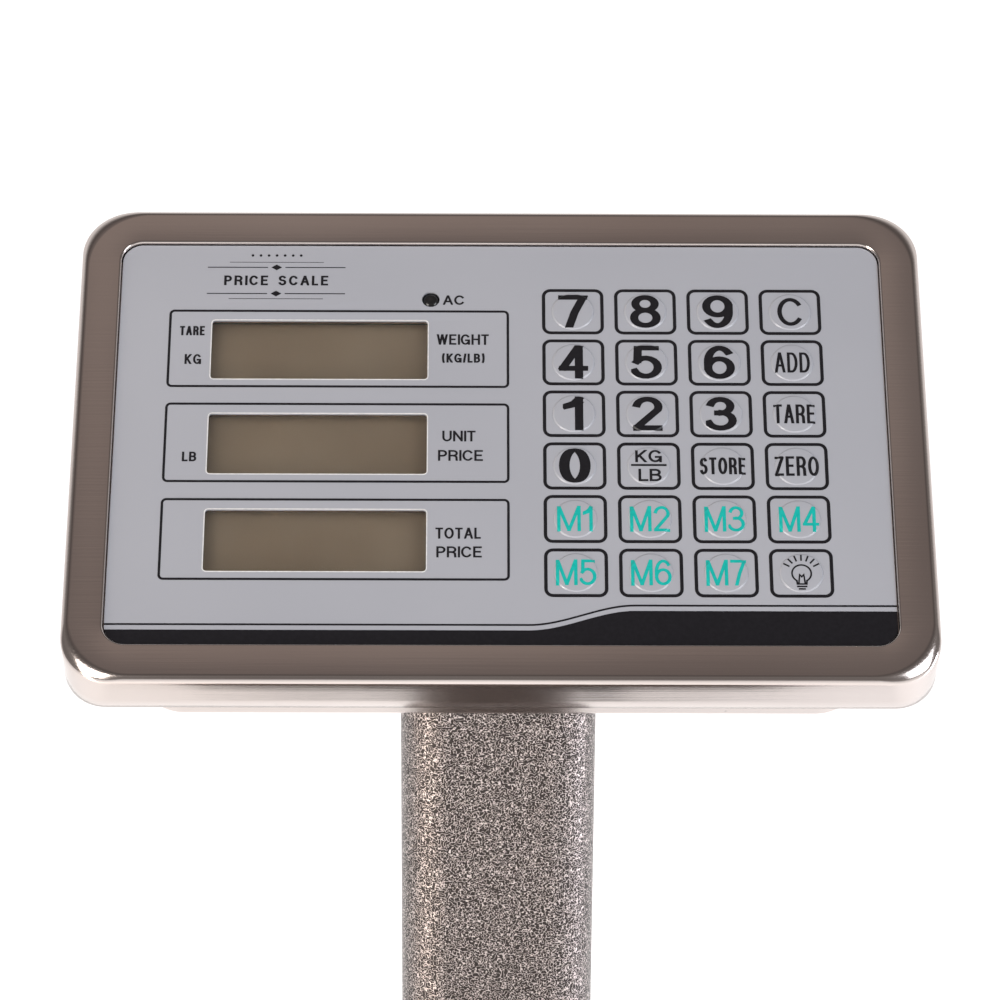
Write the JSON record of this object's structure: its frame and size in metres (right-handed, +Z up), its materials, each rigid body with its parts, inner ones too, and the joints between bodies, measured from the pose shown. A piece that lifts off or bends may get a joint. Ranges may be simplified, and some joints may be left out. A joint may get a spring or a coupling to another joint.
{
  "type": "retail price scale",
  "caption": "Folding platform scale with a tilting display and keypad head on a flat-oval column, for weighing goods and working out their price.",
  "frame": {"origin": "on the floor, at the middle of the footprint", "axes": "+X to the user's right, -Y towards the user, +Z up"},
  "size_m": [0.3, 0.4788, 0.7764],
  "materials": {
    "stainless": "drawn stainless sheet, satin with fine handling scratches, brighter on its rolled edges",
    "hammer_paint": "grey hammertone enamel, glossy with a fine dark and light vermicular pattern",
    "zinc_steel": "bright zinc-plated steel",
    "aluminium": "milled aluminium, fine anodised surface",
    "keypad_film": "satin printed polyester film in cool light grey",
    "print_black": "black screen-printed ink under satin film",
    "print_teal": "teal screen-printed ink under satin film",
    "circuit_film": "translucent polyester circuit sheet",
    "clear_window": "clear acrylic",
    "lcd_glass": "unlit reflective display glass, olive grey",
    "black_plastic": "moulded black plastic, semi-gloss",
    "circuit_board": "green solder mask over fibreglass",
    "black_rubber": "matt black rubber",
    "level_vial": "yellow-green liquid under a clear lens in a black ring"
  },
  "bodies": {
    "base": {"base_frame": "hammer_paint", "load_cell": "aluminium", "platform_frame": "hammer_paint", "hinge_bracket": "hammer_paint", "fold_bolt": "zinc_steel", "bubble_level": "level_vial", "base_lead": "black_rubber"},
    "column": {"column_tube": "hammer_paint", "column_cap": "black_plastic", "column_heel": "zinc_steel", "column_lead": "black_rubber", "tilt_bolt": "zinc_steel"},
    "head": {"front_shell": "stainless", "back_cover": "stainless", "keypad_overlay": "keypad_film", "keypad_circuit": "circuit_film", "display_window": "clear_window", "front_lcd": "lcd_glass", "display_board": "circuit_board", "ac_lamp": "black_plastic", "main_board": "circuit_board", "battery": "black_plastic", "rear_window": "clear_window", "rear_lcd": "lcd_glass", "power_switch": "black_plastic", "charger_socket": "black_plastic", "lead_grommet": "black_rubber", "head_bracket": "hammer_paint"},
    "tilt_knob": {"tilt_knob": "black_plastic"},
    "fold_knob": {"fold_knob": "black_plastic"},
    "power_rocker": {"power_rocker": "black_plastic"},
    "pan": {"pan": "stainless"},
    "foot_front_left": {"foot_front_left": "black_rubber"},
    "foot_front_right": {"foot_front_right": "black_rubber"},
    "foot_rear_left": {"foot_rear_left": "black_rubber"},
    "foot_rear_right": {"foot_rear_right": "black_rubber"},
    "key_7": {"key_7": "keypad_film"},
    "key_8": {"key_8": "keypad_film"},
    "key_9": {"key_9": "keypad_film"},
    "key_clear": {"key_clear": "keypad_film"},
    "key_4": {"key_4": "keypad_film"},
    "key_5": {"key_5": "keypad_film"},
    "key_6": {"key_6": "keypad_film"},
    "key_add": {"key_add": "keypad_film"},
    "key_1": {"key_1": "keypad_film"},
    "key_2": {"key_2": "keypad_film"},
    "key_3": {"key_3": "keypad_film"},
    "key_tare": {"key_tare": "keypad_film"},
    "key_0": {"key_0": "keypad_film"},
    "key_kg_lb": {"key_kg_lb": "keypad_film"},
    "key_store": {"key_store": "keypad_film"},
    "key_zero": {"key_zero": "keypad_film"},
    "key_m1": {"key_m1": "keypad_film"},
    "key_m2": {"key_m2": "keypad_film"},
    "key_m3": {"key_m3": "keypad_film"},
    "key_m4": {"key_m4": "keypad_film"},
    "key_m5": {"key_m5": "keypad_film"},
    "key_m6": {"key_m6": "keypad_film"},
    "key_m7": {"key_m7": "keypad_film"},
    "key_light": {"key_light": "keypad_film"}
  },
  "joints": [
    {"name": "column_fold", "type": "hinge", "parent": "base", "child": "column", "pos_m": [0, 0.19, 0.146], "axis": [1, 0, 0], "range_deg": [0, 90]},
    {"name": "head_tilt", "type": "hinge", "parent": "column", "child": "head", "pos_m": [0, 0.19, 0.666], "axis": [1, 0, 0], "range_deg": [-20, 40]},
    {"name": "tilt_knob_turn", "type": "hinge", "parent": "column", "child": "tilt_knob", "pos_m": [0.045, 0.19, 0.666], "axis": [1, 0, 0], "range_deg": [0, 360]},
    {"name": "fold_knob_turn", "type": "hinge", "parent": "base", "child": "fold_knob", "pos_m": [0.048, 0.19, 0.146], "axis": [1, 0, 0], "range_deg": [0, 360]},
    {"name": "power_rocker_tip", "type": "hinge", "parent": "head", "child": "power_rocker", "pos_m": [0.1058, 0.1942, 0.71925], "axis": [0, -0.6018, 0.7986], "range_deg": [0, 16]},
    {"name": "pan_lift", "type": "slide", "parent": "base", "child": "pan", "axis": [0, 0, 1], "range_m": [0, 0.025]},
    {"name": "foot_front_left_screw", "type": "slide", "parent": "base", "child": "foot_front_left", "axis": [0, 0, -1], "range_m": [0, 0.01]},
    {"name": "foot_front_right_screw", "type": "slide", "parent": "base", "child": "foot_front_right", "axis": [0, 0, -1], "range_m": [0, 0.01]},
    {"name": "foot_rear_left_screw", "type": "slide", "parent": "base", "child": "foot_rear_left", "axis": [0, 0, -1], "range_m": [0, 0.01]},
    {"name": "foot_rear_right_screw", "type": "slide", "parent": "base", "child": "foot_rear_right", "axis": [0, 0, -1], "range_m": [0, 0.01]},
    {"name": "key_7_press", "type": "slide", "parent": "head", "child": "key_7", "axis": [0, 0.6018, -0.7986], "range_m": [0, 0.0005], "stiffness_N_per_m": 2500},
    {"name": "key_8_press", "type": "slide", "parent": "head", "child": "key_8", "axis": [0, 0.6018, -0.7986], "range_m": [0, 0.0005], "stiffness_N_per_m": 2500},
    {"name": "key_9_press", "type": "slide", "parent": "head", "child": "key_9", "axis": [0, 0.6018, -0.7986], "range_m": [0, 0.0005], "stiffness_N_per_m": 2500},
    {"name": "key_clear_press", "type": "slide", "parent": "head", "child": "key_clear", "axis": [0, 0.6018, -0.7986], "range_m": [0, 0.0005], "stiffness_N_per_m": 2500},
    {"name": "key_4_press", "type": "slide", "parent": "head", "child": "key_4", "axis": [0, 0.6018, -0.7986], "range_m": [0, 0.0005], "stiffness_N_per_m": 2500},
    {"name": "key_5_press", "type": "slide", "parent": "head", "child": "key_5", "axis": [0, 0.6018, -0.7986], "range_m": [0, 0.0005], "stiffness_N_per_m": 2500},
    {"name": "key_6_press", "type": "slide", "parent": "head", "child": "key_6", "axis": [0, 0.6018, -0.7986], "range_m": [0, 0.0005], "stiffness_N_per_m": 2500},
    {"name": "key_add_press", "type": "slide", "parent": "head", "child": "key_add", "axis": [0, 0.6018, -0.7986], "range_m": [0, 0.0005], "stiffness_N_per_m": 2500},
    {"name": "key_1_press", "type": "slide", "parent": "head", "child": "key_1", "axis": [0, 0.6018, -0.7986], "range_m": [0, 0.0005], "stiffness_N_per_m": 2500},
    {"name": "key_2_press", "type": "slide", "parent": "head", "child": "key_2", "axis": [0, 0.6018, -0.7986], "range_m": [0, 0.0005], "stiffness_N_per_m": 2500},
    {"name": "key_3_press", "type": "slide", "parent": "head", "child": "key_3", "axis": [0, 0.6018, -0.7986], "range_m": [0, 0.0005], "stiffness_N_per_m": 2500},
    {"name": "key_tare_press", "type": "slide", "parent": "head", "child": "key_tare", "axis": [0, 0.6018, -0.7986], "range_m": [0, 0.0005], "stiffness_N_per_m": 2500},
    {"name": "key_0_press", "type": "slide", "parent": "head", "child": "key_0", "axis": [0, 0.6018, -0.7986], "range_m": [0, 0.0005], "stiffness_N_per_m": 2500},
    {"name": "key_kg_lb_press", "type": "slide", "parent": "head", "child": "key_kg_lb", "axis": [0, 0.6018, -0.7986], "range_m": [0, 0.0005], "stiffness_N_per_m": 2500},
    {"name": "key_store_press", "type": "slide", "parent": "head", "child": "key_store", "axis": [0, 0.6018, -0.7986], "range_m": [0, 0.0005], "stiffness_N_per_m": 2500},
    {"name": "key_zero_press", "type": "slide", "parent": "head", "child": "key_zero", "axis": [0, 0.6018, -0.7986], "range_m": [0, 0.0005], "stiffness_N_per_m": 2500},
    {"name": "key_m1_press", "type": "slide", "parent": "head", "child": "key_m1", "axis": [0, 0.6018, -0.7986], "range_m": [0, 0.0005], "stiffness_N_per_m": 2500},
    {"name": "key_m2_press", "type": "slide", "parent": "head", "child": "key_m2", "axis": [0, 0.6018, -0.7986], "range_m": [0, 0.0005], "stiffness_N_per_m": 2500},
    {"name": "key_m3_press", "type": "slide", "parent": "head", "child": "key_m3", "axis": [0, 0.6018, -0.7986], "range_m": [0, 0.0005], "stiffness_N_per_m": 2500},
    {"name": "key_m4_press", "type": "slide", "parent": "head", "child": "key_m4", "axis": [0, 0.6018, -0.7986], "range_m": [0, 0.0005], "stiffness_N_per_m": 2500},
    {"name": "key_m5_press", "type": "slide", "parent": "head", "child": "key_m5", "axis": [0, 0.6018, -0.7986], "range_m": [0, 0.0005], "stiffness_N_per_m": 2500},
    {"name": "key_m6_press", "type": "slide", "parent": "head", "child": "key_m6", "axis": [0, 0.6018, -0.7986], "range_m": [0, 0.0005], "stiffness_N_per_m": 2500},
    {"name": "key_m7_press", "type": "slide", "parent": "head", "child": "key_m7", "axis": [0, 0.6018, -0.7986], "range_m": [0, 0.0005], "stiffness_N_per_m": 2500},
    {"name": "key_light_press", "type": "slide", "parent": "head", "child": "key_light", "axis": [0, 0.6018, -0.7986], "range_m": [0, 0.0005], "stiffness_N_per_m": 2500}
  ]
}
